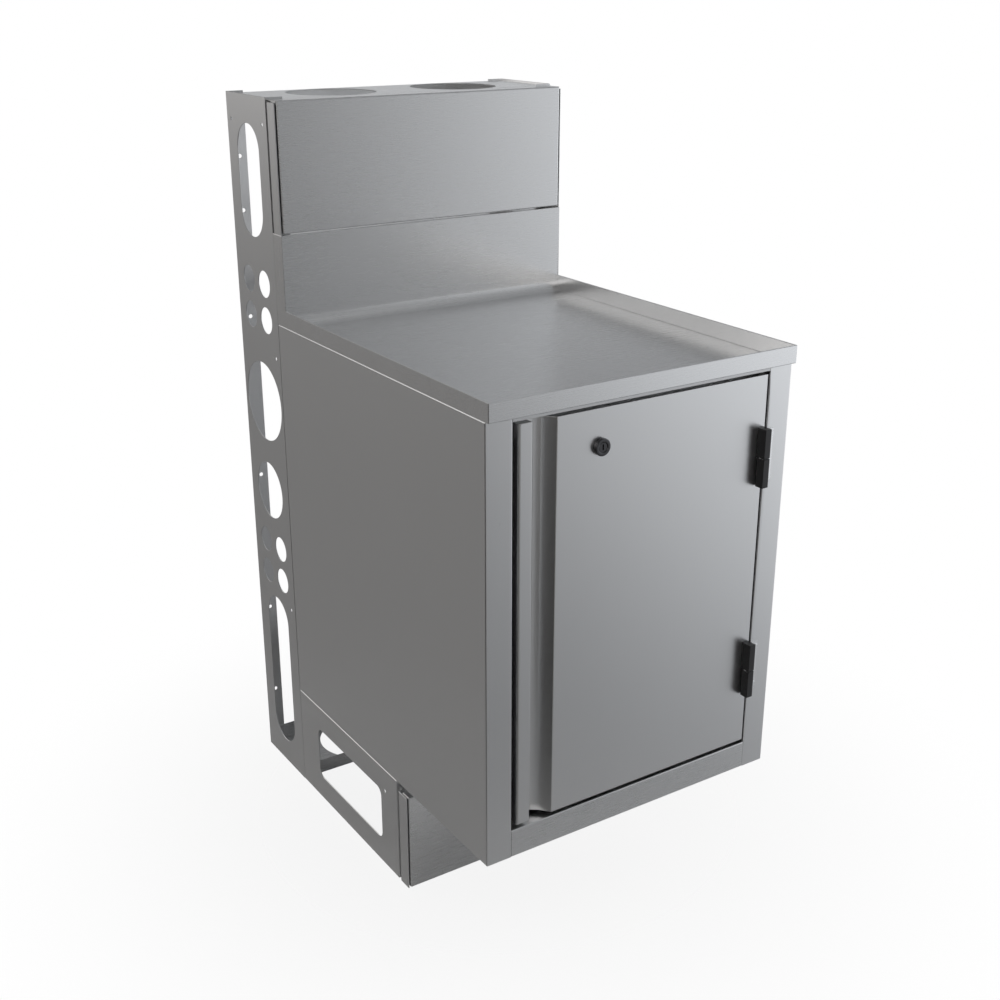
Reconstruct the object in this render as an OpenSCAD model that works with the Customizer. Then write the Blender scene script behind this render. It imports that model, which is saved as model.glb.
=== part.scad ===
/* [Overall] */
// Width over the side panels
unit_w = 457.2; // [420:0.1:620]
// Height of the chase
overall_h = 1037.8; // [1010:0.1:1090]
// Height of the worktop's raised rim
worktop_h = 757.4; // [745:0.1:780]
// Height of the base under the cabinet
base_h = 159.5; // [145:0.1:180]
// Depth from the cabinet's front face to the chase
cabinet_d = 534.6; // [480:0.1:620]
// Depth of the chase
chase_d = 131.7; // [128:0.1:160]

/* [Sheet metal] */
// Thickness of the stainless sheet
sheet_t = 1.2; // [0.9:0.1:1.6]
// Width of the inward flanges on the side plates
flange_w = 25.4; // [22:0.1:32]
// Diameter of the frame bolts
bolt_d = 6; // [5:0.5:8]

/* [Worktop] */
// Height of the tray's raised rim and apron
rim_h = 23.1; // [16:0.1:32]
// Thickness of the folded rim
rim_t = 2.4; // [2:0.1:4]
// Overhang of the worktop in front of the cabinet
overhang = 7.2; // [3:0.1:14]
// Height of the backsplash above the rim
splash_h = 103.3; // [80:0.1:120]
// Distance the backsplash and the covers stand ahead of the plates behind them
stand_off = 28.5; // [26:0.1:36]
// Inside radius of the cove between worktop and backsplash
cove_r = 16; // [6:0.5:22]

/* [Cabinet] */
// Width of the front posts
post_w = 36.5; // [32:0.1:48]
// Height of the bottom rail's face
rail_h = 38.5; // [30:0.1:50]
// Depth of the folds behind the posts and rail
fold_d = 20; // [14:0.5:24]
// Depth of the header's stop leg below the worktop
header_drop = 34; // [26:0.5:44]
// Slot of the pilasters that carries the shelf, counted from the bottom
shelf_slot = 9; // [4:1:14]
// Height of the shelf's edge flanges
shelf_edge = 25; // [15:0.5:35]

/* [Door] */
// Thickness of the door
door_t = 22; // [19:0.5:23]
// Gap between the left post and the door
latch_gap = 7.7; // [6:0.1:14]
// Gap between the door and the right post
hinge_gap = 3; // [2:0.1:5]
// Gap under the door
gap_below = 5.5; // [3:0.1:10]
// Gap between the door and the underside of the worktop
gap_above = 9.8; // [6:0.1:14]
// Gap between the door and the header's face
header_gap = 3.9; // [2:0.1:4.8]
// Width of the pull's front lip
lip_w = 18.4; // [14:0.1:26]
// Outer radius of the lip's rolled left edge
lip_r = 3.2; // [2:0.1:5]
// Width of the pull's channel
pull_w = 34; // [26:0.1:44]
// Width of the flat floor behind the lip
pull_floor_w = 14; // [8:0.1:16]
// Width of the steep slope below the door's face
pull_slope_w = 12.6; // [9:0.1:14]
// Depth of the steep slope
pull_slope_d = 14; // [10:0.1:16]

/* [Hinges] */
// Height of a hinge
hinge_h = 78; // [60:0.5:100]
// Width of the hinge knuckle
knuckle_w = 10.3; // [9.5:0.1:12]
// Distance the knuckle stands ahead of the door
knuckle_d = 15; // [14.5:0.1:18]
// Diameter of the hinge pin
pin_d = 6; // [4:0.5:7]
// Distance from the door's top to the upper hinge's top
upper_hinge_drop = 67.5; // [40:0.5:100]
// Distance from the door's bottom to the lower hinge's bottom
lower_hinge_rise = 74.5; // [40:0.5:100]

/* [Lock] */
// Diameter of the lock's head
lock_d = 21.8; // [18:0.1:24]
// Distance the head stands ahead of the door
lock_head = 5.6; // [5:0.1:12]
// Distance from the door's left edge to the lock
lock_inset = 114.4; // [90:0.1:140]
// Distance from the door's top to the lock
lock_drop = 46.5; // [42:0.1:50]
// Diameter of the lock's turning plug
plug_d = 12; // [10:0.5:13]
// Distance from the plug's axis to the cam's tip
cam_len = 34; // [30:0.5:36]

/* [Base] */
// Setback of the kick plate behind the cabinet's front
kick_setback = 200.8; // [150:0.1:220]
// Gap over the kick plate
kick_gap = 13.5; // [12:0.1:20]
// Length of the base's side cutout
base_cut_l = 200; // [120:0.5:215]
// Height of the base's side cutout
base_cut_h = 83; // [50:0.5:90]
// Corner radius of the base's side cutout
base_cut_r = 12; // [5:0.5:20]

/* [Chase cutouts] */
// Width of the two long slots in a chase side
slot_w = 72; // [50:0.5:76]
// Length of the upper slot
upper_slot_l = 154; // [120:0.5:158]
// Distance from the chase's top to the upper slot
upper_slot_drop = 37.8; // [30:0.1:40]
// Length of the lower slot
lower_slot_l = 251; // [180:0.5:255]
// Height of the lower slot's bottom edge
lower_slot_z = 39; // [32:0.5:40]
// Diameter of the large round cutout
large_hole_d = 118; // [80:0.5:120]
// Distance from the rim's height down to the large cutout
large_hole_drop = 151; // [145:0.5:155]
// Diameter of the medium round cutout
medium_hole_d = 87; // [60:0.5:90]
// Distance from the rim's height down to the medium cutout
medium_hole_drop = 290; // [280:0.5:295]
// Diameter of the small pipe holes
pipe_hole_d = 38; // [25:0.5:42]
// Pitch of the small pipe holes in their groups of four
pipe_pitch = 52; // [46:0.5:54]
// Distance from the rim's height down to the lower group
lower_pipes_drop = 403.5; // [398:0.5:406]
// Pitch of the holes that join the chase to its neighbour
gang_pitch = 103; // [98:0.5:108]
// Diameter of the openings in the chase's top and bottom
service_hole_d = 127; // [100:0.5:127]
// Distance between the centres of those openings
service_pitch = 199; // [160:0.5:220]

/* [Removable covers] */
// Gap beside a cover's face
cover_gap = 1.6; // [1:0.1:5]
// Gap under the access cover
seam_gap = 2; // [1:0.1:4]
// Depth of the covers' edge returns
cover_return = 18; // [14:0.5:20]
// Drop of the access cover's hook teeth
cover_tooth = 14; // [8:0.5:18]
// Drop of the kick plate's hook teeth
kick_tooth = 8; // [5:0.5:9]

/* [Hidden] */
$fn = 64;

steel = "#b4b6b8";
inner_steel = "#a2a4a6";
bright_steel = "#d8dadc";
black_metal = "#2a2b2d";
rubber_black = "#202020";

// small clearances
rest_gap = 0.3;
run_gap = 0.05;
hole_gap = 0.1;

// planes, from the floor and from the middle of the whole depth
x_out = unit_w / 2;
x_in = x_out - sheet_t;
front_reach = max(knuckle_d, overhang, lock_head);
y_front = -(front_reach + cabinet_d + chase_d) / 2 + front_reach;
y_chase = y_front + cabinet_d;
y_back = y_chase + chase_d;
y_mid = (y_chase + y_back) / 2;
y_splash = y_chase - stand_off;
y_kick = y_front + kick_setback;
y_base = y_kick + stand_off;
z_box = worktop_h - rim_h;
z_splash = worktop_h + splash_h;
floor_z = base_h + rail_h;

// covers, jambs and their hooks
top_step = 2.5;
jamb_step = 7;
jamb_reveal = 4.5;
jamb_short = 3;
hook_t = 1.5;
hook_neck = 8;
hook_play = 1;
hook_x = x_out - 15;
cover_half = x_out - sheet_t - cover_gap;
cover_z0 = z_splash + seam_gap;
cover_z1 = overall_h - top_step;
cover_hooks = [cover_z0 + 32, cover_z1 - 60];
cover_lift = cover_tooth + 2;
kick_z0 = 1;
kick_z1 = base_h - kick_gap;
kick_hooks = [kick_z0 + 22, kick_z1 - 38];
kick_lift = kick_tooth + 2;

// chase
panel_lip = 20;
tray_front_lip = 22.5;
tray_rear_lip = 27;
wall_hole_d = 6;
wall_hole_inset = 14.5;
wall_holes = [97, 245, 470, 718, overall_h - 165, overall_h - 89];
gang_hole_d = 5;
gang_top_z = overall_h - 35.8;
gang_mid_drop = 75.7;
gang_mid_z = worktop_h - gang_mid_drop;
gang_low_z = 289;
bolt_inset = 16;
bolt_end = 150;
bolt_heights = [base_h + bolt_end, z_box - bolt_end];
base_bolt_z = base_h / 2;
nut_h = 5;

// door, from its own corners
door_x0 = -x_out + post_w + latch_gap;
door_x1 = x_out - post_w - hinge_gap;
door_z0 = floor_z + gap_below;
door_z1 = z_box - gap_above;
pan_d = door_t - sheet_t;
lip_x = door_x0 + lip_w;
face_x = lip_x + pull_w;
pull_d = pan_d - sheet_t;
pull_line = [[lip_x, pull_d], [lip_x + pull_floor_w, pull_d], [face_x - pull_slope_w, pull_slope_d], [face_x, 0]];
lower_slope = atan2(pull_d - pull_slope_d, pull_w - pull_slope_w - pull_floor_w);
upper_slope = atan2(pull_slope_d, pull_slope_w);
stop_gap = 3;
y_stop = y_front + door_t + stop_gap;
leg_z = z_box - header_drop;
catch_w = 46;
catch_h = 18;
catch_plate_t = 1;

// hinges
pivot_x = door_x1 - 1.4 - knuckle_w / 2;
pivot_y = y_front - knuckle_d / 2 - 0.3;
upper_hinge_z = door_z1 - upper_hinge_drop - hinge_h / 2;
lower_hinge_z = door_z0 + lower_hinge_rise + hinge_h / 2;
washer_t = 1;
plate_t = 1.6;
plate_x0 = x_out - post_w + 1.2;
plate_w = 10.5;
plate_screw_d = 4;
plate_half = hinge_h / 2 - 4;
plate_screw_z = hinge_h / 2 - 11;
knuckle_screw_d = 3;
knuckle_screw_depth = 3.4;

// lock
lock_x = door_x0 + lock_inset;
lock_z = door_z1 - lock_drop;
barrel_d = 16;
nut_t = 5;
barrel_back = y_front + door_t + nut_t + 2;
cam_t = 2.5;
cam_w = 14;
strike_y = barrel_back - rest_gap;
keyway_w = 1.4;
keyway_h = 7;

// shelf and pilasters
pil_w = 16;
pil_t = 4;
slot_pitch = 25;
slot_rise = 8;
pil_z0 = floor_z + 6;
pil_z1 = z_box - 45;
pil_slots = floor((pil_z1 - pil_z0) / slot_pitch);
pil_inset = 75;
pil_front_y = y_front + pil_inset;
pil_rear_y = y_chase - pil_inset;
clip_z = pil_z0 + shelf_slot * slot_pitch;
shelf_z = clip_z + shelf_edge;
shelf_half = x_in - pil_t - 2;

// A box between two corners
module block(low, high) {
    translate(low)
        cube(high - low);
}

// A cylinder along X, centred on the point
module rod_x(at, d, length) {
    translate(at)
        rotate([0, 90, 0])
            cylinder(d = d, h = length, center = true);
}

// A cylinder along Y, from the point towards the back
module rod_y(at, d, length) {
    translate(at)
        rotate([-90, 0, 0])
            cylinder(d = d, h = length);
}

// A slot with round ends, cut through a plate along X
module slot_x(y, z_low, width, length) {
    rod_x([-x_out, y, z_low + width / 2], width, 4 * flange_w);
    rod_x([-x_out, y, z_low + length - width / 2], width, 4 * flange_w);
    block([-x_out - 1, y - width / 2, z_low + width / 2],
        [-x_out + 1 + sheet_t, y + width / 2, z_low + length - width / 2]);
}

// A sheet shape in the XY plane, raised between two heights
module raised(z0, z1) {
    translate([0, 0, z0])
        linear_extrude(height = z1 - z0)
            children();
}

// A rectangle in the XY plane between two corners
module area(low, high) {
    translate(low)
        square(high - low);
}

// The other hand of a left-hand piece
module right_hand() {
    mirror([1, 0, 0])
        children();
}

// Windows for hooks in a flange that faces the front
module hook_windows(heights, y0, y1, lift) {
    for (z = heights)
        block([-hook_x - hook_t / 2 - hook_play, y0 - 1, z],
            [-hook_x + hook_t / 2 + hook_play, y1 + 1, z + hook_neck + lift + hook_play]);
}

// Hooks that drop behind a pair of flanges
module hooks(heights, y_from, y_wall, tooth) {
    back = y_wall + sheet_t + hook_play;
    for (side = [-1, 1], z = heights) {
        block([side * hook_x - hook_t / 2, y_from, z],
            [side * hook_x + hook_t / 2, back + hook_t, z + hook_neck]);
        block([side * hook_x - hook_t / 2, back, z - tooth],
            [side * hook_x + hook_t / 2, back + hook_t, z + hook_neck]);
    }
}

// The round and slotted cutouts of a chase side, for pipes and hoses
module chase_cutouts() {
    slot_x(y_mid, overall_h - upper_slot_drop - upper_slot_l, slot_w, upper_slot_l);
    slot_x(y_mid, lower_slot_z, slot_w, lower_slot_l);
    rod_x([-x_out, y_mid, worktop_h - large_hole_drop], large_hole_d, 4 * sheet_t);
    rod_x([-x_out, y_mid, worktop_h - medium_hole_drop], medium_hole_d, 4 * sheet_t);
    for (z_mid = [worktop_h, worktop_h - lower_pipes_drop], dy = [-1, 1], dz = [-1, 1])
        rod_x([-x_out, y_mid + dy * pipe_pitch / 2, z_mid + dz * pipe_pitch / 2], pipe_hole_d, 4 * sheet_t);
}

// The small holes that join the chase to the unit beside it
module gang_holes() {
    for (dy = [-1, 1])
        rod_x([-x_out, y_mid + dy * gang_pitch / 2, gang_top_z], gang_hole_d, 4 * sheet_t);
    for (z = [gang_mid_z, gang_low_z])
        rod_x([-x_out, y_mid - gang_pitch / 2, z], gang_hole_d, 4 * sheet_t);
}

// Full-height side of the chase, a web with two inward flanges
module chase_side() {
    difference() {
        union() {
            block([-x_out, y_chase, 0], [-x_in, y_back, overall_h]);
            block([-x_out, y_chase, 0], [-x_out + flange_w, y_chase + sheet_t, overall_h]);
            block([-x_out, y_back - sheet_t, 0], [-x_out + flange_w, y_back, overall_h]);
        }
        chase_cutouts();
        gang_holes();
        for (z = wall_holes)
            rod_y([-x_out + wall_hole_inset, y_back - 2 * sheet_t, z], wall_hole_d, 3 * sheet_t);
        for (z = concat(bolt_heights, [base_bolt_z]))
            rod_y([-x_out + bolt_inset, y_chase - sheet_t, z], bolt_d + 2 * hole_gap, 3 * sheet_t);
        hook_windows(cover_hooks, y_chase, y_chase + sheet_t, cover_lift);
    }
}

module chase_side_left() {
    color(steel)
        chase_side();
}

module chase_side_right() {
    color(steel)
        right_hand()
            chase_side();
}

// The pair of large round openings, cut along Z
module service_holes(z) {
    for (side = [-1, 1])
        translate([side * service_pitch / 2, y_mid, z - 2 * sheet_t])
            cylinder(d = service_hole_d, h = 5 * sheet_t, $fn = 96);
}

// Top of the chase, a little below the edges of its sides
module chase_top() {
    y0 = y_chase + sheet_t;
    y1 = y_back - sheet_t;
    color(steel)
        difference() {
            union() {
                block([-x_in, y0, cover_z1 - sheet_t], [x_in, y1, cover_z1]);
                block([-x_in, y0, cover_z1 - panel_lip], [x_in, y0 + sheet_t, cover_z1]);
                block([-x_in, y1 - sheet_t, cover_z1 - panel_lip], [x_in, y1, cover_z1]);
            }
            service_holes(cover_z1 - sheet_t);
        }
}

// Bottom tray of the chase, with its lips turned up
module chase_bottom() {
    y0 = y_chase + sheet_t;
    y1 = y_back - sheet_t;
    color(steel)
        difference() {
            union() {
                block([-x_in, y0, 0], [x_in, y1, sheet_t]);
                block([-x_in, y0, 0], [x_in, y0 + sheet_t, tray_front_lip]);
                block([-x_in, y1 - sheet_t, 0], [x_in, y1, tray_rear_lip]);
            }
            service_holes(0);
        }
}

// Strip beside a removable cover, with a stepped flange that carries the cover's hooks
module jamb(y_face, y_wall, z0, z1, heights, lift) {
    y_end = y_wall - jamb_reveal;
    step_x = -x_out + jamb_step;
    difference() {
        raised(z0, z1) {
            area([-x_out, y_face + 1.4], [-x_in, y_end]);
            area([-x_out, y_end - sheet_t], [step_x, y_end]);
            area([step_x - sheet_t, y_end - sheet_t], [step_x, y_wall]);
            area([step_x - sheet_t, y_wall - sheet_t], [-x_out + flange_w, y_wall]);
        }
        hook_windows(heights, y_wall - sheet_t, y_wall, lift);
    }
}

module cover_jamb() {
    jamb(y_splash, y_chase, z_splash, cover_z1 - jamb_short, cover_hooks, cover_lift);
}

module cover_jamb_left() {
    color(steel)
        cover_jamb();
}

module cover_jamb_right() {
    color(steel)
        right_hand()
            cover_jamb();
}

// Pan with returned edges and hooks, for the access cover and the kick plate
module hooked_pan(y_face, y_wall, z0, z1, top_depth, heights, tooth) {
    y_rear = y_face + cover_return;
    block([-cover_half, y_face, z0], [cover_half, y_face + sheet_t, z1]);
    block([-cover_half, y_face, z1 - sheet_t], [cover_half, y_face + top_depth, z1]);
    block([-cover_half, y_face, z0], [cover_half, y_rear, z0 + sheet_t]);
    for (side = [-1, 1]) {
        inner_x = side * (hook_x - hook_t);
        block([min(side * cover_half, side * (cover_half - sheet_t)), y_face, z0],
            [max(side * cover_half, side * (cover_half - sheet_t)), y_rear, z1]);
        block([min(side * cover_half, inner_x), y_rear - sheet_t, z0],
            [max(side * cover_half, inner_x), y_rear, z1]);
    }
    hooks(heights, y_rear - sheet_t, y_wall, tooth);
}

// Cover of the chase, lifted off its hooks to reach the pipes
module access_cover() {
    color(steel)
        hooked_pan(y_splash, y_chase, cover_z0, cover_z1, stand_off - 0.6, cover_hooks, cover_tooth);
}

// Section of worktop floor, cove and backsplash, with Y across and Z up
module worktop_section() {
    floor_top = z_box + sheet_t;
    arc_y = y_splash - cove_r;
    arc_z = floor_top + cove_r;
    area([y_front - overhang, z_box], [arc_y, floor_top]);
    area([y_splash, arc_z], [y_splash + sheet_t, z_splash]);
    area([y_splash, z_splash - sheet_t], [y_chase, z_splash]);
    area([y_chase - sheet_t, z_splash - fold_d], [y_chase, z_splash]);
    intersection() {
        difference() {
            translate([arc_y, arc_z])
                circle(r = cove_r + sheet_t);
            translate([arc_y, arc_z])
                circle(r = cove_r);
        }
        area([arc_y, z_box - 1], [y_splash + 2 * sheet_t, arc_z]);
    }
}

// Formed worktop, a tray with raised folded rims and a coved backsplash in one sheet
module worktop() {
    color(steel) {
        rotate([90, 0, 90])
            translate([0, 0, -x_in])
                linear_extrude(height = 2 * x_in)
                    worktop_section();
        block([-x_out, y_front - overhang, z_box], [x_out, y_front - overhang + rim_t, worktop_h]);
        for (side = [0, 1])
            mirror([side, 0, 0]) {
                block([-x_out, y_front - overhang, z_box], [-x_out + rim_t, y_splash + sheet_t, worktop_h]);
                block([-x_out, y_splash, z_box], [-x_in, y_chase, z_splash]);
            }
    }
}

// Channel that stiffens the worktop from below
module worktop_channel() {
    y_channel = (y_front + y_splash) / 2;
    channel_h = 25;
    half_w = 30;
    color(inner_steel)
        for (side = [0, 1])
            translate([0, y_channel, 0])
                mirror([0, side, 0]) {
                    block([-x_in, half_w - 15, z_box - 2 * sheet_t], [x_in, half_w, z_box - sheet_t]);
                    block([-x_in, half_w - 15, z_box - channel_h], [x_in, half_w - 15 + sheet_t, z_box - sheet_t]);
                    block([-x_in, -0.1, z_box - channel_h], [x_in, half_w - 15 + sheet_t, z_box - channel_h + sheet_t]);
                    block([-x_out + flange_w, half_w - 15, z_box - 2 * sheet_t],
                        [x_out - flange_w, half_w, z_box]);
                }
}

// Cabinet side with its front post folded from the same sheet
module cabinet_side() {
    difference() {
        union() {
            block([-x_out, y_front, base_h], [-x_in, y_chase, z_box]);
            block([-x_out, y_front, base_h], [-x_out + post_w, y_front + sheet_t, z_box]);
            block([-x_out + post_w - sheet_t, y_front, base_h], [-x_out + post_w, y_front + fold_d, z_box]);
            block([-x_out, y_chase - sheet_t, base_h], [-x_out + flange_w, y_chase, z_box]);
            block([-x_out, y_front, z_box - sheet_t], [-x_out + flange_w, y_chase, z_box]);
            block([-x_out, y_front, base_h], [-x_out + flange_w, y_chase, base_h + sheet_t]);
        }
        for (z = bolt_heights)
            rod_y([-x_out + bolt_inset, y_chase - 2 * sheet_t, z], bolt_d + 2 * hole_gap, 3 * sheet_t);
    }
}

module cabinet_side_left() {
    color(steel)
        cabinet_side();
}

module cabinet_side_right() {
    color(steel)
        difference() {
            right_hand()
                cabinet_side();
            for (z_mid = [upper_hinge_z, lower_hinge_z], dz = [-1, 1])
                rod_y([plate_x0 + plate_w / 2 + 1.5, y_front - 1, z_mid + dz * plate_screw_z],
                    plate_screw_d + 2 * hole_gap, 2 * sheet_t + 1);
        }
}

// Floor of the cabinet, folded down at the front into the bottom rail
module cabinet_floor() {
    post_x = x_out - post_w;
    y_tongue = y_front + fold_d;
    y_rear = y_chase - 2 * sheet_t;
    skirt_z = base_h + sheet_t;
    color(steel) {
        block([-x_in, y_tongue, floor_z - sheet_t], [x_in, y_rear, floor_z]);
        block([-post_x, y_front, floor_z - sheet_t], [post_x, y_tongue, floor_z]);
        block([-post_x, y_front, base_h], [post_x, y_front + sheet_t, floor_z]);
        block([-post_x, y_front, base_h], [post_x, y_tongue, base_h + sheet_t]);
        block([-x_in, y_rear - sheet_t, skirt_z], [x_in, y_rear, floor_z]);
        for (side = [0, 1])
            mirror([side, 0, 0])
                block([-x_in, y_tongue, skirt_z], [-x_in + sheet_t, y_rear, floor_z]);
    }
}

// Back of the cabinet, with a top flange that closes the space behind the backsplash
module cabinet_back() {
    y0 = y_chase - 2 * sheet_t;
    color(inner_steel)
        difference() {
            union() {
                block([-x_in, y0, base_h + sheet_t], [x_in, y0 + sheet_t, z_box - sheet_t]);
                block([-x_in, y_splash, z_box - 2 * sheet_t], [x_in, y0, z_box - sheet_t]);
            }
            for (side = [-1, 1], z = bolt_heights)
                rod_y([side * (x_out - bolt_inset), y0 - 1, z], bolt_d + 2 * hole_gap, sheet_t + 2);
        }
}

// Rail above the door, with a low face between the posts and a leg that stops the door
module header_rail() {
    post_x = x_out - post_w;
    color(inner_steel) {
        block([-post_x, y_front, door_z1 + header_gap], [post_x, y_front + sheet_t, z_box]);
        block([-post_x, y_front, z_box - 2 * sheet_t], [post_x, y_stop + sheet_t, z_box - sheet_t]);
        block([-x_in, y_stop, leg_z], [x_in, y_stop + sheet_t, z_box - sheet_t]);
        block([-x_in, y_stop, z_box - 2 * sheet_t], [x_in, y_stop + fold_d, z_box - sheet_t]);
    }
}

// Shelf with its edges turned down
module shelf() {
    y0 = y_front + 46;
    y1 = y_chase - 2 * sheet_t - 8;
    color(inner_steel)
        difference() {
            block([-shelf_half, y0, clip_z], [shelf_half, y1, shelf_z]);
            block([-shelf_half + sheet_t, y0 + sheet_t, clip_z - 1],
                [shelf_half - sheet_t, y1 - sheet_t, shelf_z - sheet_t]);
        }
}

// Slotted strip on the inside of a cabinet side
module pilaster(y) {
    difference() {
        block([-x_in, y - pil_w / 2, pil_z0], [-x_in + pil_t, y + pil_w / 2, pil_z1]);
        for (i = [1 : pil_slots - 1])
            block([-x_in + sheet_t, y - pil_w / 4, pil_z0 + i * slot_pitch - slot_rise],
                [-x_in + pil_t + 1, y + pil_w / 4, pil_z0 + i * slot_pitch]);
    }
}

module pilaster_front_left() {
    color(bright_steel)
        pilaster(pil_front_y);
}

module pilaster_rear_left() {
    color(bright_steel)
        pilaster(pil_rear_y);
}

module pilaster_front_right() {
    color(bright_steel)
        right_hand()
            pilaster(pil_front_y);
}

module pilaster_rear_right() {
    color(bright_steel)
        right_hand()
            pilaster(pil_rear_y);
}

// One clip, with a tongue in the pilaster's slot and a ledge under the shelf's edge
module clip(y) {
    face_x = -x_in + pil_t;
    block([face_x, y - pil_w / 2, clip_z - slot_rise - 2], [face_x + 1.5, y + pil_w / 2, clip_z]);
    block([face_x, y - pil_w / 2, clip_z - 2], [face_x + 10, y + pil_w / 2, clip_z]);
    block([face_x - 2, y - pil_w / 4 + 0.5, clip_z - slot_rise + 0.5], [face_x, y + pil_w / 4 - 0.5, clip_z - 0.5]);
}

module shelf_clips() {
    color(bright_steel)
        for (side = [0, 1], y = [pil_front_y, pil_rear_y])
            mirror([side, 0, 0])
                clip(y);
}

// Cutout with round corners through a base side
module base_cutout() {
    y_c = (y_base + y_chase) / 2 - 6;
    z_c = base_h / 2;
    half_l = base_cut_l / 2;
    half_h = base_cut_h / 2;
    for (dy = [-1, 1], dz = [-1, 1])
        rod_x([-x_out, y_c + dy * (half_l - base_cut_r), z_c + dz * (half_h - base_cut_r)],
            2 * base_cut_r, 4 * sheet_t);
    block([-x_out - 1, y_c - half_l + base_cut_r, z_c - half_h], [-x_in + 1, y_c + half_l - base_cut_r, z_c + half_h]);
    block([-x_out - 1, y_c - half_l, z_c - half_h + base_cut_r], [-x_in + 1, y_c + half_l, z_c + half_h - base_cut_r]);
}

// Side of the base, with flanges all round and the utility cutout
module base_side() {
    difference() {
        union() {
            block([-x_out, y_base, 0], [-x_in, y_chase, base_h]);
            block([-x_out, y_base, 0], [-x_out + flange_w, y_base + sheet_t, base_h]);
            block([-x_out, y_chase - sheet_t, 0], [-x_out + flange_w, y_chase, base_h]);
            block([-x_out, y_base, 0], [-x_out + flange_w, y_chase, sheet_t]);
            block([-x_out, y_base, base_h - sheet_t], [-x_out + flange_w, y_chase, base_h]);
        }
        base_cutout();
        hook_windows(kick_hooks, y_base, y_base + sheet_t, kick_lift);
        rod_x([-x_out, y_base + 35, base_h - 35], gang_hole_d, 4 * sheet_t);
        rod_y([-x_out + bolt_inset, y_chase - 2 * sheet_t, base_bolt_z], bolt_d + 2 * hole_gap, 3 * sheet_t);
    }
}

module base_side_left() {
    color(steel)
        base_side();
}

module base_side_right() {
    color(steel)
        right_hand()
            base_side();
}

// Cross rail of the base, a channel open at the bottom
module base_rail(y0) {
    rail_w = 30;
    rail_d = 14;
    z1 = base_h - sheet_t;
    block([-x_in, y0, z1 - sheet_t], [x_in, y0 + rail_w, z1]);
    block([-x_in, y0, z1 - rail_d], [x_in, y0 + sheet_t, z1]);
    block([-x_in, y0 + rail_w - sheet_t, z1 - rail_d], [x_in, y0 + rail_w, z1]);
}

module base_rail_front() {
    color(inner_steel)
        base_rail(y_base + 4 * sheet_t);
}

module base_rail_rear() {
    color(inner_steel)
        base_rail(y_chase - 30 - 4 * sheet_t);
}

module kick_jamb() {
    jamb(y_kick, y_base, 0, kick_z1, kick_hooks, kick_lift);
}

module kick_jamb_left() {
    color(steel)
        kick_jamb();
}

module kick_jamb_right() {
    color(steel)
        right_hand()
            kick_jamb();
}

// Kick plate, lifted off its hooks to reach under the cabinet
module kick_plate() {
    color(steel)
        hooked_pan(y_kick, y_base, kick_z0, kick_z1, cover_return, kick_hooks, kick_tooth);
}

// Step from a fold's front corner to its corner one sheet deeper, between two slopes
function fold_step(low, high) =
    sheet_t * [sin(low) + sin(high), cos(low) + cos(high)] / (1 + cos(high - low));

// Folded section of the door's outer pan, with the rolled lip and the pull behind it
module door_section() {
    translate([0, y_front]) {
        area([door_x0, lip_r], [door_x0 + sheet_t, pan_d]);
        intersection() {
            difference() {
                translate([door_x0 + lip_r, lip_r])
                    circle(r = lip_r);
                translate([door_x0 + lip_r, lip_r])
                    circle(r = lip_r - sheet_t);
            }
            area([door_x0, 0], [door_x0 + lip_r, lip_r]);
        }
        area([door_x0 + lip_r, 0], [lip_x, sheet_t]);
        area([lip_x - sheet_t, 0], [lip_x, pan_d]);
        polygon([[lip_x - sheet_t, pull_d], each pull_line,
            pull_line[3] + fold_step(upper_slope, 0),
            pull_line[2] + fold_step(lower_slope, upper_slope),
            pull_line[1] + fold_step(0, lower_slope), [lip_x - sheet_t, pan_d]]);
        area([face_x, 0], [door_x1, sheet_t]);
        area([door_x1 - sheet_t, 0], [door_x1, pan_d]);
    }
}

// Area of the door's top and bottom edges, which leaves the pull's channel open
module door_edge() {
    translate([0, y_front]) {
        area([door_x0, lip_r], [lip_x, pan_d]);
        area([door_x0 + lip_r, 0], [lip_x, lip_r]);
        intersection() {
            translate([door_x0 + lip_r, lip_r])
                circle(r = lip_r);
            area([door_x0, 0], [door_x0 + lip_r, lip_r]);
        }
        polygon([each pull_line, [door_x1, 0], [door_x1, pan_d], [lip_x, pan_d]]);
    }
}

module door_panel() {
    color(steel)
        difference() {
            union() {
                raised(door_z0, door_z1)
                    door_section();
                raised(door_z0, door_z0 + sheet_t)
                    door_edge();
                raised(door_z1 - sheet_t, door_z1)
                    door_edge();
            }
            rod_y([lock_x, y_front - 1, lock_z], barrel_d + 2 * hole_gap, sheet_t + 2);
            for (z_mid = [upper_hinge_z, lower_hinge_z], z = knuckle_screw_heights(z_mid))
                rod_y([pivot_x, y_front - 1, z], knuckle_screw_d + 2 * hole_gap, sheet_t + 2);
        }
}

// Flat liner that closes the door's inside
module door_liner() {
    color(inner_steel)
        difference() {
            block([door_x0, y_front + pan_d, door_z0], [door_x1, y_front + door_t, door_z1]);
            rod_y([lock_x, y_front + pan_d - 1, lock_z], barrel_d + 2 * hole_gap, sheet_t + 2);
        }
}

// Folded bar between the door's two sheets
module door_stiffener() {
    x_mid = (face_x + door_x1) / 2;
    foot = 16;
    color(inner_steel)
        raised(door_z0 + foot, door_z1 - foot)
            translate([x_mid, y_front]) {
                area([0, sheet_t], [sheet_t, pan_d]);
                area([0, sheet_t], [foot, 2 * sheet_t]);
                area([sheet_t - foot, pan_d - sheet_t], [sheet_t, pan_d]);
            }
}

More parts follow.
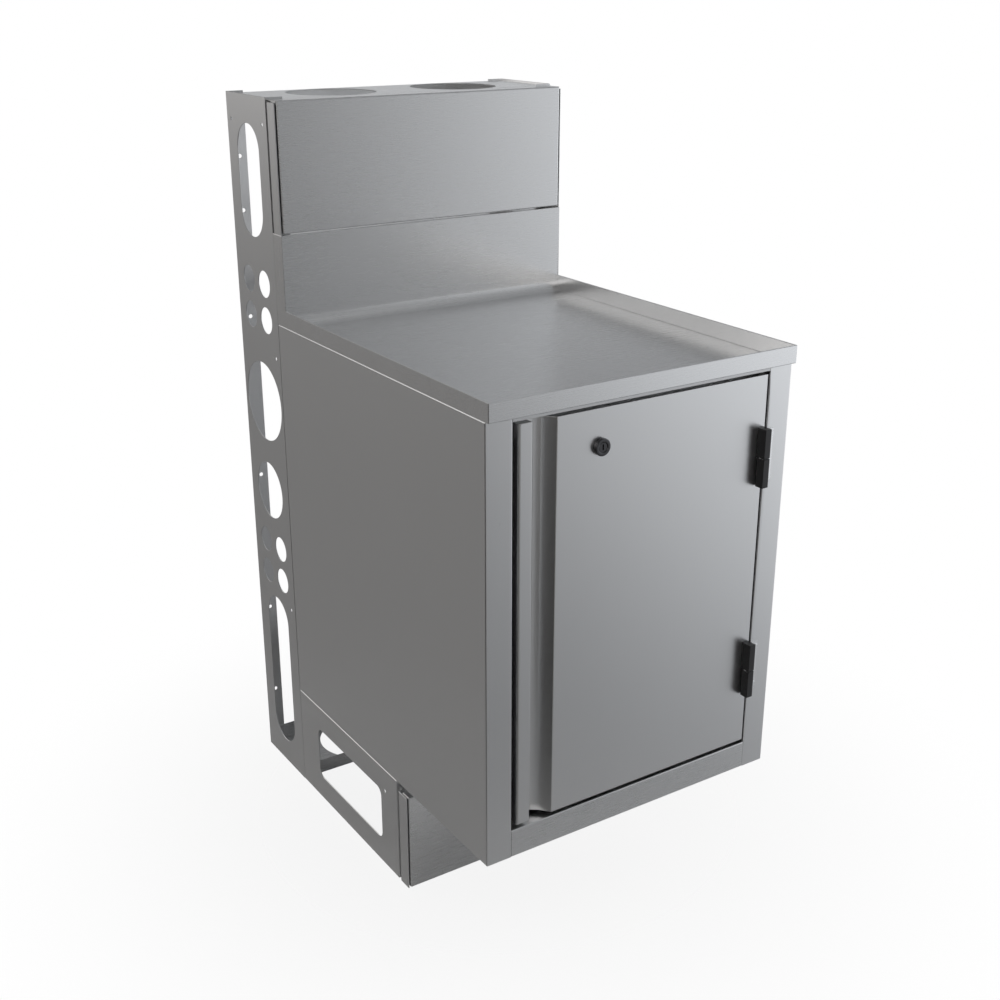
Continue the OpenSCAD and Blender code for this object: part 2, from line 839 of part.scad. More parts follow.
// Magnetic catch under the header's leg, its face just clear of the plate on the door
module magnet_catch() {
    y_magnet = y_front + door_t + catch_plate_t + rest_gap;
    foot_d = 3;
    color(black_metal) {
        block([-catch_w / 2, y_magnet, leg_z - catch_h], [catch_w / 2, y_magnet + 16, leg_z]);
        block([-catch_w / 2, y_stop + sheet_t, leg_z], [catch_w / 2, y_stop + sheet_t + foot_d, leg_z + 12]);
    }
}

module catch_strike() {
    color(bright_steel)
        block([-catch_w / 2 + 2, y_front + door_t, leg_z - catch_h + 1],
            [catch_w / 2 - 2, y_front + door_t + catch_plate_t, leg_z - 1]);
}

// Rubber buttons in front of the header's leg, which the door closes against
module door_bumpers() {
    color(rubber_black)
        for (x = [door_x0 + 24, door_x1 - 24])
            rod_y([x, y_stop - stop_gap + rest_gap, door_z1 - 14], 9, stop_gap - rest_gap);
}

// Plate of a hinge on the frame's right post
module hinge_plate(z_mid) {
    color(bright_steel)
        difference() {
            block([plate_x0, y_front - plate_t, z_mid - plate_half],
                [plate_x0 + plate_w, y_front, z_mid + plate_half]);
            for (dz = [-1, 1])
                rod_y([plate_x0 + plate_w / 2 + 1.5, y_front - plate_t - 1, z_mid + dz * plate_screw_z],
                    plate_screw_d + 2 * hole_gap, plate_t + 2);
        }
}

// Lower half of a hinge, on the frame, its back rounded about the pin so that the door clears it
module frame_knuckle(z_mid) {
    z0 = z_mid - hinge_h / 2;
    z1 = z_mid - washer_t / 2;
    round_r = y_front - pivot_y - 0.5;
    arm_t = 3;
    color(black_metal)
        difference() {
            raised(z0, z1) {
                intersection() {
                    area([pivot_x - knuckle_w / 2, y_front - knuckle_d], [pivot_x + knuckle_w / 2, y_front]);
                    union() {
                        translate([pivot_x, pivot_y])
                            circle(r = round_r);
                        area([pivot_x - knuckle_w / 2, y_front - knuckle_d], [pivot_x + knuckle_w / 2, pivot_y]);
                    }
                }
                area([pivot_x, y_front - plate_t - arm_t], [plate_x0 + 2.6, y_front - plate_t]);
            }
            translate([pivot_x, pivot_y, z0 + 3])
                cylinder(d = pin_d, h = hinge_h);
        }
}

// Upper half of a hinge, on the door's face
module door_knuckle(z_mid) {
    z0 = z_mid + washer_t / 2;
    z1 = z_mid + hinge_h / 2;
    color(black_metal)
        difference() {
            block([pivot_x - knuckle_w / 2, y_front - knuckle_d, z0], [pivot_x + knuckle_w / 2, y_front, z1]);
            translate([pivot_x, pivot_y, z0 - 1])
                cylinder(d = pin_d + 2 * run_gap, h = hinge_h / 2 - 2);
            for (z = knuckle_screw_heights(z_mid))
                rod_y([pivot_x, y_front - knuckle_screw_depth, z], knuckle_screw_d, knuckle_screw_depth + 1);
        }
}

function knuckle_screw_heights(z_mid) = [z_mid + washer_t / 2 + 9, z_mid + hinge_h / 2 - 9];

module hinge_pin(z_mid) {
    color(bright_steel)
        translate([pivot_x, pivot_y, z_mid - hinge_h / 2 + 3])
            cylinder(d = pin_d, h = hinge_h - 7);
}

module hinge_washer(z_mid) {
    color(bright_steel)
        translate([pivot_x, pivot_y, z_mid - washer_t / 2])
            difference() {
                cylinder(d = knuckle_w, h = washer_t);
                translate([0, 0, -1])
                    cylinder(d = pin_d + 2 * run_gap, h = washer_t + 2);
            }
}

module upper_hinge_plate() {
    hinge_plate(upper_hinge_z);
}

module upper_hinge_frame_knuckle() {
    frame_knuckle(upper_hinge_z);
}

module upper_hinge_door_knuckle() {
    door_knuckle(upper_hinge_z);
}

module upper_hinge_pin() {
    hinge_pin(upper_hinge_z);
}

module upper_hinge_washer() {
    hinge_washer(upper_hinge_z);
}

module lower_hinge_plate() {
    hinge_plate(lower_hinge_z);
}

module lower_hinge_frame_knuckle() {
    frame_knuckle(lower_hinge_z);
}

module lower_hinge_door_knuckle() {
    door_knuckle(lower_hinge_z);
}

module lower_hinge_pin() {
    hinge_pin(lower_hinge_z);
}

module lower_hinge_washer() {
    hinge_washer(lower_hinge_z);
}

// Screws that hold the hinge plates to the post
module hinge_plate_screws() {
    head_t = 1.3;
    color(bright_steel)
        for (z_mid = [upper_hinge_z, lower_hinge_z], dz = [-1, 1])
            translate([plate_x0 + plate_w / 2 + 1.5, y_front - plate_t, z_mid + dz * plate_screw_z]) {
                rod_y([0, -head_t, 0], 1.6 * plate_screw_d, head_t);
                rod_y([0, -head_t / 2, 0], plate_screw_d, head_t / 2 + plate_t + sheet_t + 4);
            }
}

// Screws that hold the door knuckles from inside the door
module knuckle_screws() {
    head_t = 1.6;
    color(bright_steel)
        for (z_mid = [upper_hinge_z, lower_hinge_z], z = knuckle_screw_heights(z_mid))
            translate([pivot_x, y_front, z]) {
                rod_y([0, sheet_t, 0], 2 * knuckle_screw_d, head_t);
                rod_y([0, -knuckle_screw_depth, 0], knuckle_screw_d, knuckle_screw_depth + sheet_t + head_t / 2);
            }
}

// Body of the lock, a round head on the door's face and a barrel through the door
module lock_body() {
    color(black_metal)
        difference() {
            union() {
                rod_y([lock_x, y_front - lock_head, lock_z], lock_d, lock_head);
                rod_y([lock_x, y_front - 1, lock_z], barrel_d, barrel_back - y_front + 1);
            }
            rod_y([lock_x, y_front - lock_head - 1, lock_z], plug_d + 2 * run_gap, barrel_back - y_front + lock_head + 2);
        }
}

// Nut that clamps the lock body from inside the door
module lock_nut() {
    color(bright_steel)
        difference() {
            translate([lock_x, y_front + door_t, lock_z])
                rotate([-90, 0, 0])
                    cylinder(d = barrel_d * 1.5, h = nut_t, $fn = 6);
            rod_y([lock_x, y_front + door_t - 1, lock_z], barrel_d, nut_t + 2);
        }
}

// Turning plug of the lock, with its keyway in front
module lock_plug() {
    color(black_metal)
        difference() {
            rod_y([lock_x, y_front - lock_head + 0.6, lock_z], plug_d, barrel_back - y_front + lock_head - 0.6);
            block([lock_x - keyway_w / 2, y_front - lock_head - 1, lock_z - keyway_h / 2],
                [lock_x + keyway_w / 2, y_front - lock_head + 14, lock_z + keyway_h / 2]);
            rod_y([lock_x, barrel_back - 8, lock_z], 4, 9);
        }
}

// Cam of the lock, pointing left while unlocked and turned up behind the strike to lock
module lock_cam() {
    color(bright_steel)
        difference() {
            union() {
                rod_y([lock_x, barrel_back, lock_z], cam_w, cam_t);
                rod_y([lock_x - cam_len + cam_w / 2, barrel_back, lock_z], cam_w, cam_t);
                block([lock_x - cam_len + cam_w / 2, barrel_back, lock_z - cam_w / 2],
                    [lock_x, barrel_back + cam_t, lock_z + cam_w / 2]);
            }
            rod_y([lock_x, barrel_back - 1, lock_z], 4.2, cam_t + 2);
        }
}

module lock_cam_screw() {
    color(bright_steel) {
        rod_y([lock_x, barrel_back - 7, lock_z], 4, 7 + cam_t);
        rod_y([lock_x, barrel_back + cam_t, lock_z], 8, 2.5);
    }
}

// Strike behind the header's leg, which the raised cam passes behind
module lock_strike() {
    strike_w = 40;
    color(bright_steel)
        block([lock_x - strike_w / 2, y_stop + sheet_t, leg_z],
            [lock_x + strike_w / 2, strike_y, door_z1 - 4]);
}

// One bolt with its nut, through the sheets between two planes
module through_bolt(x, z, y0, y1) {
    head_t = 4;
    translate([x, 0, z]) {
        rod_y([0, y0 - head_t, 0], 1.7 * bolt_d, head_t);
        rod_y([0, y0 - head_t / 2, 0], bolt_d, y1 - y0 + head_t / 2 + nut_h + 1);
        rod_y([0, y1, 0], 1.7 * bolt_d, nut_h);
    }
}

// Bolts that join the cabinet and the base to the chase
module chase_bolts() {
    color(bright_steel)
        for (side = [-1, 1]) {
            for (z = bolt_heights)
                through_bolt(side * (x_out - bolt_inset), z, y_chase - 2 * sheet_t, y_chase + sheet_t);
            through_bolt(side * (x_out - bolt_inset), base_bolt_z, y_chase - sheet_t, y_chase + sheet_t);
        }
}

chase_side_left();
chase_side_right();
chase_top();
chase_bottom();
cover_jamb_left();
cover_jamb_right();
access_cover();
worktop();
worktop_channel();
cabinet_side_left();
cabinet_side_right();
cabinet_floor();
cabinet_back();
header_rail();
shelf();
pilaster_front_left();
pilaster_rear_left();
pilaster_front_right();
pilaster_rear_right();
shelf_clips();
base_side_left();
base_side_right();
base_rail_front();
base_rail_rear();
kick_jamb_left();
kick_jamb_right();
kick_plate();
door_panel();
door_liner();
door_stiffener();
magnet_catch();
catch_strike();
door_bumpers();
upper_hinge_plate();
upper_hinge_frame_knuckle();
upper_hinge_door_knuckle();
upper_hinge_pin();
upper_hinge_washer();
lower_hinge_plate();
lower_hinge_frame_knuckle();
lower_hinge_door_knuckle();
lower_hinge_pin();
lower_hinge_washer();
hinge_plate_screws();
knuckle_screws();
lock_body();
lock_nut();
lock_plug();
lock_cam();
lock_cam_screw();
lock_strike();
chase_bolts();
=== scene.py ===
"""Looks for a stainless underbar cabinet: brushed sheet, folded edges, black hinges and lock."""

import math

import bmesh
import bpy
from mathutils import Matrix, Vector
from mathutils.bvhtree import BVHTree


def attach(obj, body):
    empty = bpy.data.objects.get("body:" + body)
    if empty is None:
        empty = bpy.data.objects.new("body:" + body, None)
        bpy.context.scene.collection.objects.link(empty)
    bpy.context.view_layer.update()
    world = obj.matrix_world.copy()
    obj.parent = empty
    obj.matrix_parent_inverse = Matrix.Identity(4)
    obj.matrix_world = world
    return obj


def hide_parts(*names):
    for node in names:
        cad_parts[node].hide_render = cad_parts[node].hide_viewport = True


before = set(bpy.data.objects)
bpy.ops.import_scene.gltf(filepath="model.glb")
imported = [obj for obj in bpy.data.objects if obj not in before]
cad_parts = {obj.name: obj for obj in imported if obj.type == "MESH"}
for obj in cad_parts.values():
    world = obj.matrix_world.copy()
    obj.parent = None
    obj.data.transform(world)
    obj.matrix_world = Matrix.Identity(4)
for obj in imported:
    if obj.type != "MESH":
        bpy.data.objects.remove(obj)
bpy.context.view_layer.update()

# The camera stands to the left of the door and looks down on the worktop, with a slightly long lens,
# so that the chase's cut-out side, the door and the inside of the tray all show.
camera = bpy.data.cameras.new("photo_camera")
camera.lens = 48.77
camera.sensor_width = 36.0
camera.clip_start = 0.05
camera.clip_end = 60.0
tripod = bpy.data.objects.new("photo_camera", camera)
tripod.location = (-0.9789, -1.5055, 1.1823)
tripod.rotation_euler = (math.radians(68.97), 0.0, math.radians(-33.126))
bpy.context.collection.objects.link(tripod)
bpy.context.scene.camera = tripod
bpy.context.scene.view_settings.view_transform = "Standard"


# The backdrop is white paper, lit apart from the set. The camera sees it white, and so does anything that
# looks past the cards, but the soft light that it sends back to the set is only that of grey paper.
def straight_rays(tree):
    """1 for rays from the camera and for those that metal mirrors or glass lets through, else 0."""
    path = tree.nodes.new("ShaderNodeLightPath")
    mirrored = tree.nodes.new("ShaderNodeMath")
    mirrored.operation = "MAXIMUM"
    passed = tree.nodes.new("ShaderNodeMath")
    passed.operation = "MAXIMUM"
    tree.links.new(path.outputs["Is Camera Ray"], mirrored.inputs[0])
    tree.links.new(path.outputs["Is Glossy Ray"], mirrored.inputs[1])
    tree.links.new(mirrored.outputs["Value"], passed.inputs[0])
    tree.links.new(path.outputs["Is Transmission Ray"], passed.inputs[1])
    return passed.outputs["Value"]


world = bpy.data.worlds.new("backdrop")
world.use_nodes = True
bpy.context.scene.world = world
sky = world.node_tree
soft = sky.nodes["Background"]
soft.inputs["Color"].default_value = (0.45, 0.45, 0.45, 1.0)
paper = sky.nodes.new("ShaderNodeBackground")
paper.inputs["Color"].default_value = (1.0, 1.0, 1.0, 1.0)
choose = sky.nodes.new("ShaderNodeMixShader")
sky.links.new(straight_rays(sky), choose.inputs["Fac"])
sky.links.new(soft.outputs["Background"], choose.inputs[1])
sky.links.new(paper.outputs["Background"], choose.inputs[2])
sky.links.new(choose.outputs["Shader"], sky.nodes["World Output"].inputs["Surface"])

# Grey cards all round the set keep the white paper out of the steel's reflections. Between them shine a
# large soft box on the right, a low strip at the back right, small boxes at both left corners and a faint
# one overhead, and a black flag stands low on the left. One far shell stands in for all of them.
shell_mesh = bpy.data.meshes.new("cards")
ball = bmesh.new()
bmesh.ops.create_icosphere(ball, subdivisions=3, radius=20.0)
ball.to_mesh(shell_mesh)
ball.free()
cards = bpy.data.objects.new("cards", shell_mesh)
bpy.context.collection.objects.link(cards)
cards.visible_camera = False
cards.visible_shadow = False
card_paint = bpy.data.materials.new("cards")
card_paint.use_nodes = True
shell = card_paint.node_tree
shell.nodes.clear()
place = shell.nodes.new("ShaderNodeTexCoord")
heading = shell.nodes.new("ShaderNodeVectorMath")
heading.operation = "NORMALIZE"
shell.links.new(place.outputs["Object"], heading.inputs[0])
grey_card = shell.nodes.new("ShaderNodeValue")
grey_card.outputs["Value"].default_value = 0.189
tone = grey_card.outputs["Value"]
soft_box = (0.903, -0.421, 0.05, 1.0, 0.26, 0.75, 0.92)
overhead = (0.48, -0.30, 0.80, 1.0, 0.20, 0.75, 0.12)
low_strip = (0.643, 0.766, 0.05, 4.5, 0.50, 1.15, 0.78)
back_left_box = (-0.61, 0.73, 0.31, 1.0, 0.10, 0.50, 1.02)
front_left_box = (-0.672, -0.672, 0.309, 1.0, 0.20, 0.50, 0.80)
black_flag = (-0.90, -0.26, -0.35, 1.0, 0.36, 0.90, -0.18)
# each one's direction, how flat it is, where it starts and stops to fade, and how much light it adds
for x, y, z, flat, inner, outer, level in (
    soft_box, overhead, low_strip, back_left_box, front_left_box, black_flag
):
    away = shell.nodes.new("ShaderNodeVectorMath")
    away.operation = "SUBTRACT"
    away.inputs[1].default_value = (x, y, z)
    squashed = shell.nodes.new("ShaderNodeVectorMath")
    squashed.operation = "MULTIPLY"
    squashed.inputs[1].default_value = (1.0, 1.0, flat)
    distance = shell.nodes.new("ShaderNodeVectorMath")
    distance.operation = "LENGTH"
    glow = shell.nodes.new("ShaderNodeMapRange")
    glow.interpolation_type = "SMOOTHSTEP"
    glow.inputs["From Min"].default_value = inner
    glow.inputs["From Max"].default_value = outer
    glow.inputs["To Min"].default_value = level
    glow.inputs["To Max"].default_value = 0.0
    add = shell.nodes.new("ShaderNodeMath")
    shell.links.new(heading.outputs["Vector"], away.inputs[0])
    shell.links.new(away.outputs["Vector"], squashed.inputs[0])
    shell.links.new(squashed.outputs["Vector"], distance.inputs[0])
    shell.links.new(distance.outputs["Value"], glow.inputs["Value"])
    shell.links.new(glow.outputs["Result"], add.inputs[0])
    shell.links.new(tone, add.inputs[1])
    tone = add.outputs["Value"]
# the light is a little warmer on the left and cooler on the right
side = shell.nodes.new("ShaderNodeSeparateXYZ")
tint = shell.nodes.new("ShaderNodeMapRange")
tint.inputs["From Min"].default_value = -0.3
tint.inputs["From Max"].default_value = 0.7
warmth = shell.nodes.new("ShaderNodeMix")
warmth.data_type = "RGBA"
warmth.inputs["A"].default_value = (1.02, 1.0, 0.985, 1.0)
warmth.inputs["B"].default_value = (0.975, 1.0, 1.035, 1.0)
shine = shell.nodes.new("ShaderNodeEmission")
shell_end = shell.nodes.new("ShaderNodeOutputMaterial")
shell.links.new(heading.outputs["Vector"], side.inputs["Vector"])
shell.links.new(side.outputs["X"], tint.inputs["Value"])
shell.links.new(tint.outputs["Result"], warmth.inputs["Factor"])
shell.links.new(warmth.outputs["Result"], shine.inputs["Color"])
shell.links.new(tone, shine.inputs["Strength"])
shell.links.new(shine.outputs["Emission"], shell_end.inputs["Surface"])
card_paint.cycles.emission_sampling = "NONE"
shell_mesh.materials.append(card_paint)

# One lamp in the large soft box lights the black parts and throws the shadow on the floor. The steel
# doesn't mirror it, as the box's own glow is already on the shell.
lamp = bpy.data.lights.new("key_box", "AREA")
lamp.shape = "SQUARE"
lamp.size = 1.8
lamp.energy = 20.0
box = bpy.data.objects.new("key_box", lamp)
box.location = (2.3, -1.1, 2.0)
box.visible_glossy = False
middle = Vector((0.0, 0.0, 0.5))
box.rotation_euler = (middle - box.location).to_track_quat("-Z", "Y").to_euler()
bpy.context.collection.objects.link(box)

# The floor is a round sheet of white paper. It fades into the backdrop at its rim and keeps the unit's
# soft shadow in the middle, as most of its white is there for the camera only. Since the paper is a little
# greyer than the backdrop, the fade also paints a soft shadow pool around the unit's foot.
floor_mesh = bpy.data.meshes.new("floor")
ground = bmesh.new()
bmesh.ops.create_circle(ground, cap_ends=True, segments=64, radius=0.95)
ground.to_mesh(floor_mesh)
ground.free()
floor = bpy.data.objects.new("floor", floor_mesh)
bpy.context.collection.objects.link(floor)
floor_paint = bpy.data.materials.new("floor_paper")
floor_paint.use_nodes = True
carpet = floor_paint.node_tree
carpet.nodes.clear()
matt = carpet.nodes.new("ShaderNodeBsdfDiffuse")
matt.inputs["Color"].default_value = (0.8, 0.8, 0.8, 1.0)
white = carpet.nodes.new("ShaderNodeEmission")
white.inputs["Color"].default_value = (1.0, 1.0, 1.0, 1.0)
path = carpet.nodes.new("ShaderNodeLightPath")
share = carpet.nodes.new("ShaderNodeMath")
share.operation = "MULTIPLY"
share.inputs[1].default_value = 0.88
shaded = carpet.nodes.new("ShaderNodeMixShader")
spot = carpet.nodes.new("ShaderNodeTexCoord")
radius = carpet.nodes.new("ShaderNodeVectorMath")
radius.operation = "LENGTH"
# by radius the paper greys towards the middle: a painted shadow pool, besides the lamp's real shadow
painted_pool_fade = carpet.nodes.new("ShaderNodeMapRange")
painted_pool_fade.interpolation_type = "SMOOTHSTEP"
painted_pool_fade.inputs["From Min"].default_value = 0.15
painted_pool_fade.inputs["From Max"].default_value = 0.85
clear = carpet.nodes.new("ShaderNodeBsdfTransparent")
faded = carpet.nodes.new("ShaderNodeMixShader")
floor_end = carpet.nodes.new("ShaderNodeOutputMaterial")
carpet.links.new(path.outputs["Is Camera Ray"], share.inputs[0])
carpet.links.new(share.outputs["Value"], shaded.inputs["Fac"])
carpet.links.new(matt.outputs["BSDF"], shaded.inputs[1])
carpet.links.new(white.outputs["Emission"], shaded.inputs[2])
carpet.links.new(spot.outputs["Object"], radius.inputs[0])
carpet.links.new(radius.outputs["Value"], painted_pool_fade.inputs["Value"])
carpet.links.new(painted_pool_fade.outputs["Result"], faded.inputs["Fac"])
carpet.links.new(shaded.outputs["Shader"], faded.inputs[1])
carpet.links.new(clear.outputs["BSDF"], faded.inputs[2])
carpet.links.new(faded.outputs["Shader"], floor_end.inputs["Surface"])
floor_paint.cycles.emission_sampling = "NONE"
floor_mesh.materials.append(floor_paint)


# The chase sides are full-height stainless plates with inward flanges, folded on a press brake. Their
# slots and round cutouts are punched for pipes, so the bends are rounded and the cut edges are only eased.
def satin(name, tone, rough, along):
    """Satin stainless sheet, polished in fine lines along one axis."""
    coarse = 30.0
    fine = 2400.0
    wander = 0.03
    steel = bpy.data.materials.new(name)
    steel.use_nodes = True
    tree = steel.node_tree
    shader = tree.nodes["Principled BSDF"]
    shader.inputs["Metallic"].default_value = 1.0
    spot = tree.nodes.new("ShaderNodeTexCoord")
    comb = tree.nodes.new("ShaderNodeMapping")
    comb.inputs["Scale"].default_value = [coarse if axis == along else fine for axis in "XYZ"]
    lines = tree.nodes.new("ShaderNodeTexNoise")
    lines.inputs["Scale"].default_value = 1.0
    lines.inputs["Detail"].default_value = 3.0
    clouds = tree.nodes.new("ShaderNodeTexNoise")
    clouds.inputs["Scale"].default_value = 5.0
    clouds.inputs["Detail"].default_value = 3.0
    blend = tree.nodes.new("ShaderNodeMix")
    blend.inputs["Factor"].default_value = 0.35
    polish = tree.nodes.new("ShaderNodeMapRange")
    polish.inputs["From Min"].default_value = 0.25
    polish.inputs["From Max"].default_value = 0.75
    polish.inputs["To Min"].default_value = rough - wander
    polish.inputs["To Max"].default_value = rough + wander
    colour = tree.nodes.new("ShaderNodeMix")
    colour.data_type = "RGBA"
    colour.inputs["A"].default_value = [channel * 0.985 for channel in tone] + [1.0]
    colour.inputs["B"].default_value = [channel * 1.015 for channel in tone] + [1.0]
    ridge = tree.nodes.new("ShaderNodeBump")
    ridge.inputs["Strength"].default_value = 0.05
    ridge.inputs["Distance"].default_value = 0.00004
    tree.links.new(spot.outputs["Object"], comb.inputs["Vector"])
    tree.links.new(comb.outputs["Vector"], lines.inputs["Vector"])
    tree.links.new(spot.outputs["Object"], clouds.inputs["Vector"])
    tree.links.new(lines.outputs["Fac"], blend.inputs["A"])
    tree.links.new(clouds.outputs["Fac"], blend.inputs["B"])
    tree.links.new(blend.outputs["Result"], polish.inputs["Value"])
    tree.links.new(polish.outputs["Result"], shader.inputs["Roughness"])
    tree.links.new(blend.outputs["Result"], colour.inputs["Factor"])
    tree.links.new(colour.outputs["Result"], shader.inputs["Base Color"])
    tree.links.new(lines.outputs["Fac"], ridge.inputs["Height"])
    tree.links.new(ridge.outputs["Normal"], shader.inputs["Normal"])
    return steel


def width(face):
    """How wide a long face is, for telling a sheet's surface from its cut edge."""
    return face.calc_area() / max(edge.calc_length() for edge in face.edges)


def sharp(mesh, bent, convex):
    """Edges of the folds where two broad faces meet, or with bent False every other sharp edge."""
    crease_angle = 0.4
    cut_edge_width = 0.0035
    found = []
    for edge in mesh.edges:
        if not edge.is_manifold or edge.calc_face_angle() < crease_angle:
            continue
        broad = min(width(face) for face in edge.link_faces) > cut_edge_width
        if broad == bent and (not bent or edge.is_convex == convex):
            found.append(edge)
    return found


def sheet(node, body, finish, bend=0.0015, cut=0.00025, turns=1):
    """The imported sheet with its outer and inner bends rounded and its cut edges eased."""
    same_point = 0.00001
    same_plane = 0.01
    inner_bend = 0.0005
    slack = 0.0002
    corner_share = 0.35
    speck = 0.000002
    smooth_angle = 0.5
    mesh = bmesh.new()
    mesh.from_mesh(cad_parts[node].data)
    bmesh.ops.remove_doubles(mesh, verts=mesh.verts, dist=same_point)
    packed = BVHTree.FromBMesh(mesh)
    spans = [[vert.co[axis] for vert in mesh.verts] for axis in range(3)]
    limits = [(min(span), max(span)) for span in spans]
    bmesh.ops.dissolve_limit(mesh, angle_limit=same_plane, verts=mesh.verts, edges=mesh.edges)
    bmesh.ops.connect_verts_concave(mesh, faces=mesh.faces)
    rounds = ((True, True, bend, 4), (True, False, inner_bend, 2), (False, True, cut, turns))
    for bent, convex, radius, steps in rounds:
        if radius:
            bmesh.ops.bevel(
                mesh, geom=sharp(mesh, bent, convex), offset=radius, segments=steps, affect="EDGES",
                profile=0.5, material=-1, clamp_overlap=False,
            )
            bmesh.ops.connect_verts_concave(mesh, faces=mesh.faces)
    # where folds meet in a corner, a point that was pushed off the sheet goes back onto its surface
    deepest = corner_share * max(bend, cut) + slack
    for vert in mesh.verts:
        nearest, normal, _, gap = packed.find_nearest(vert.co)
        outside = (vert.co - nearest).dot(normal) > 0.0
        if gap > (slack if outside else deepest):
            vert.co = nearest
        for axis, (low, high) in enumerate(limits):
            vert.co[axis] = min(max(vert.co[axis], low), high)
    bmesh.ops.dissolve_degenerate(mesh, dist=speck, edges=mesh.edges)
    for edge in mesh.edges:
        edge.smooth = not edge.is_manifold or edge.calc_face_angle() < smooth_angle
    for face in mesh.faces:
        face.smooth = True
    shape = bpy.data.meshes.new(node + "_sheet")
    mesh.to_mesh(shape)
    mesh.free()
    shape.materials.append(finish)
    piece = bpy.data.objects.new(node + "_sheet", shape)
    bpy.context.collection.objects.link(piece)
    # broad faces stay flat and the rounded bends take up the whole turn
    piece.modifiers.new("flats", "WEIGHTED_NORMAL").keep_sharp = True
    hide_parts(node)
    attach(piece, body)
    return piece


upright_steel = satin("upright_steel", (0.846, 0.85, 0.853), 0.3, "Z")
for node in ("chase_side_left", "chase_side_right"):
    sheet(node, "cabinet", upright_steel)

# The chase is closed above and below by two punched pans, whose large round openings let pipes run
# up and down. Both are spot-welded between the sides, so their lips are hidden at the ends.
level_steel = satin("level_steel", (0.846, 0.85, 0.853), 0.28, "X")
for node in ("chase_top", "chase_bottom"):
    sheet(node, "cabinet", level_steel)

# Narrow stepped strips carry the hooks of the access cover. The cover is a shallow pan with its edges
# returned, and it hangs on four hooks, so a hand can lift it off without a tool.
for node in ("cover_jamb_left", "cover_jamb_right"):
    sheet(node, "cabinet", upright_steel)
sheet("access_cover", "cover", level_steel, bend=0.002)

# The worktop is one pressed tray: folded rims all round the front and sides, and a floor that sweeps
# up through a cove into the backsplash. Its corners are welded and ground, so nothing there is sharp.
sheet("worktop", "cabinet", level_steel, bend=0.001, cut=0.0003)

# Inner pieces are the same stainless with its dull mill surface: the channel under the worktop, the
# back panel, the rail over the door, the shelf and the rails of the base.
mill_steel = satin("mill_steel", (0.72, 0.725, 0.73), 0.42, "X")
for node in ("worktop_channel", "cabinet_back", "header_rail", "shelf", "base_rail_front", "base_rail_rear"):
    sheet(node, "cabinet", mill_steel, bend=0.0012, cut=0.0002)

# Each cabinet side turns the corner into the front post in one sheet. The floor folds down at the
# front to make the bottom rail between the posts.
for node in ("cabinet_side_left", "cabinet_side_right"):
    sheet(node, "cabinet", upright_steel)
sheet("cabinet_floor", "cabinet", level_steel)

# Four slotted strips of zinc-plated steel are riveted inside the cabinet, one near each corner. Four
# clips hook into their slots and carry the shelf.
plated = satin("plated_steel", (0.93, 0.935, 0.94), 0.22, "Z")
for node in ("pilaster_front_left", "pilaster_rear_left", "pilaster_front_right", "pilaster_rear_right"):
    sheet(node, "cabinet", plated, bend=0.0, cut=0.0002)
sheet("shelf_clips", "cabinet", plated, bend=0.0, cut=0.0002)

# The base is set back for the feet. Its sides have a utility cutout, and its kick plate hangs on hooks
# like the cover above, which is why there is a gap over it.
for node in ("base_side_left", "base_side_right", "kick_jamb_left", "kick_jamb_right"):
    sheet(node, "cabinet", upright_steel)
sheet("kick_plate", "kick", level_steel, bend=0.002)

# The door is a folded pan with a full-height finger pull at its free edge. A mill-finish liner closes
# its back, and a stiffener is spot-welded between the two.
door_steel = satin("door_steel", (0.846, 0.85, 0.853), 0.32, "Z")
sheet("door_panel", "door", door_steel, bend=0.0008)
sheet("door_liner", "door", mill_steel, bend=0.0, cut=0.0003)
sheet("door_stiffener", "door", mill_steel, bend=0.0012)


# The magnetic catch is a moulded black case on the rail over the door, with its keeper plate on the
# door's liner. Soft black bumpers on the frame stop the door without a clang.
def dimpled(name, tone, rough, pitch, strength):
    """A black skin in one colour with fine dimples, as moulding or powder leaves them."""
    coat = bpy.data.materials.new(name)
    coat.use_nodes = True
    tree = coat.node_tree
    shader = tree.nodes["Principled BSDF"]
    shader.inputs["Base Color"].default_value = [*tone, 1.0]
    shader.inputs["Roughness"].default_value = rough
    spot = tree.nodes.new("ShaderNodeTexCoord")
    grain = tree.nodes.new("ShaderNodeTexNoise")
    grain.inputs["Scale"].default_value = pitch
    dimple = tree.nodes.new("ShaderNodeBump")
    dimple.inputs["Strength"].default_value = strength
    dimple.inputs["Distance"].default_value = 0.0001
    tree.links.new(spot.outputs["Object"], grain.inputs["Vector"])
    tree.links.new(grain.outputs["Fac"], dimple.inputs["Height"])
    tree.links.new(dimple.outputs["Normal"], shader.inputs["Normal"])
    return coat


moulded = dimpled("moulded_black", (0.02, 0.02, 0.022), 0.5, 900.0, 0.25)
sheet("magnet_catch", "cabinet", moulded, bend=0.0008, cut=0.0005)
sheet("catch_strike", "door", plated, bend=0.0, cut=0.0002)
sheet("door_bumpers", "cabinet", moulded, bend=0.0, cut=0.0004)

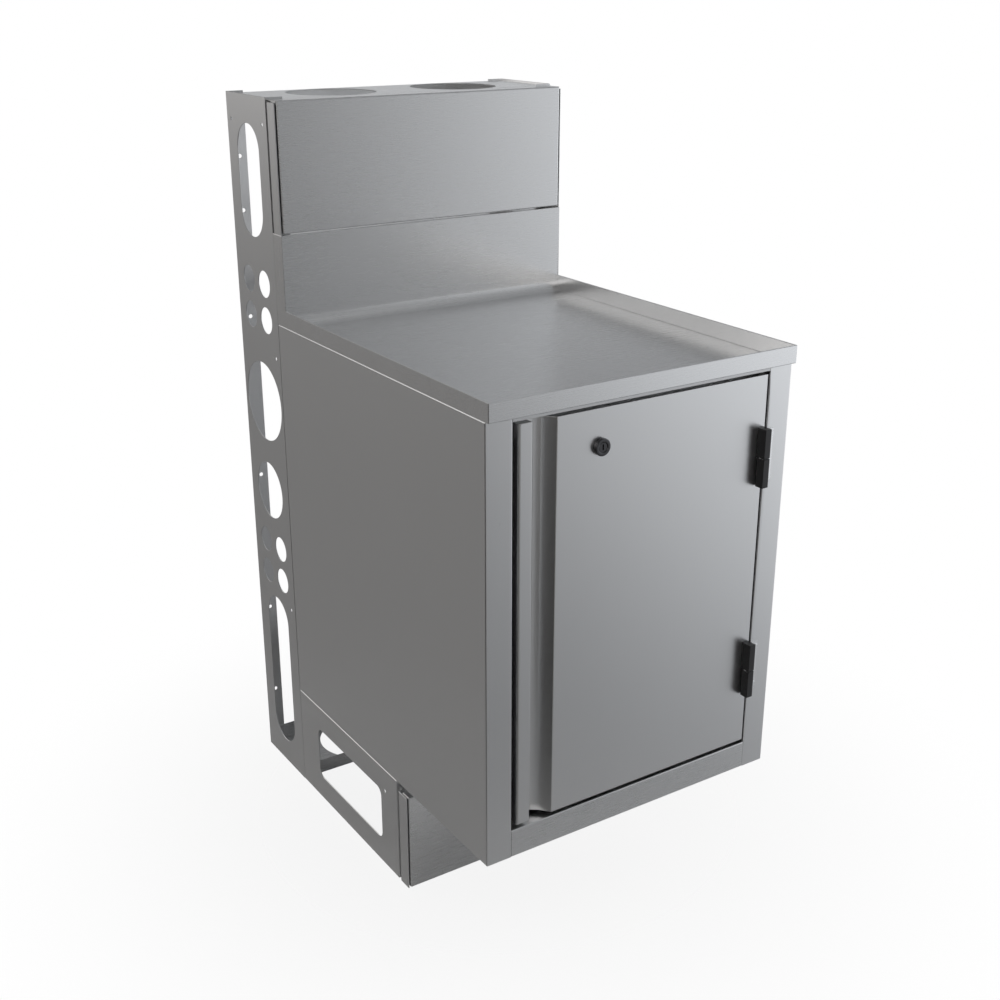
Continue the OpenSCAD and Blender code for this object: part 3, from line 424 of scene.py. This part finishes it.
# Offset butt hinges in black powder-coated steel: a knuckle on the door, one on the frame, a bright
# washer between them and a slim plate on the post.
black = dimpled("black_coat", (0.022, 0.022, 0.024), 0.38, 1400.0, 0.2)
for level in ("upper", "lower"):
    sheet(level + "_hinge_plate", "cabinet", plated, bend=0.0004, cut=0.0003)
    sheet(level + "_hinge_frame_knuckle", "cabinet", black, bend=0.0008, cut=0.0005)
    sheet(level + "_hinge_door_knuckle", "door", black, bend=0.0008, cut=0.0005)
    sheet(level + "_hinge_pin", "cabinet", plated, bend=0.0, cut=0.0004)
    sheet(level + "_hinge_washer", "cabinet", plated, bend=0.0, cut=0.0001)

# The lock is a cam lock in black nickel: a round head on the door, a turning plug with its keyway,
# and a plated cam inside. The head's rim is turned smooth, so it catches the light.
nickel = bpy.data.materials.new("black_nickel")
nickel.use_nodes = True
plating = nickel.node_tree
skin = plating.nodes["Principled BSDF"]
skin.inputs["Base Color"].default_value = (0.105, 0.105, 0.11, 1.0)
skin.inputs["Metallic"].default_value = 1.0
spot = plating.nodes.new("ShaderNodeTexCoord")
smear = plating.nodes.new("ShaderNodeTexNoise")
smear.inputs["Scale"].default_value = 300.0
polish = plating.nodes.new("ShaderNodeMapRange")
polish.inputs["To Min"].default_value = 0.16
polish.inputs["To Max"].default_value = 0.26
wave = plating.nodes.new("ShaderNodeBump")
wave.inputs["Strength"].default_value = 0.05
wave.inputs["Distance"].default_value = 0.00005
plating.links.new(spot.outputs["Object"], smear.inputs["Vector"])
plating.links.new(smear.outputs["Fac"], polish.inputs["Value"])
plating.links.new(polish.outputs["Result"], skin.inputs["Roughness"])
plating.links.new(smear.outputs["Fac"], wave.inputs["Height"])
plating.links.new(wave.outputs["Normal"], skin.inputs["Normal"])
sheet("lock_body", "door", nickel, bend=0.0, cut=0.0012, turns=4)
sheet("lock_nut", "door", plated, bend=0.0, cut=0.0004)
sheet("lock_plug", "lock", nickel, bend=0.0, cut=0.0003)
sheet("lock_cam", "lock", plated, bend=0.0, cut=0.0004)
sheet("lock_cam_screw", "lock", plated, bend=0.0, cut=0.0003)
sheet("lock_strike", "cabinet", mill_steel, bend=0.0, cut=0.0003)

# Plated bolts and screws hold the hinges to post and door, and the cabinet and base to the chase. Their
# heads are turned and their edges broken.
for node, body in (("hinge_plate_screws", "cabinet"), ("knuckle_screws", "door"), ("chase_bolts", "cabinet")):
    sheet(node, body, plated, bend=0.0, cut=0.0003)
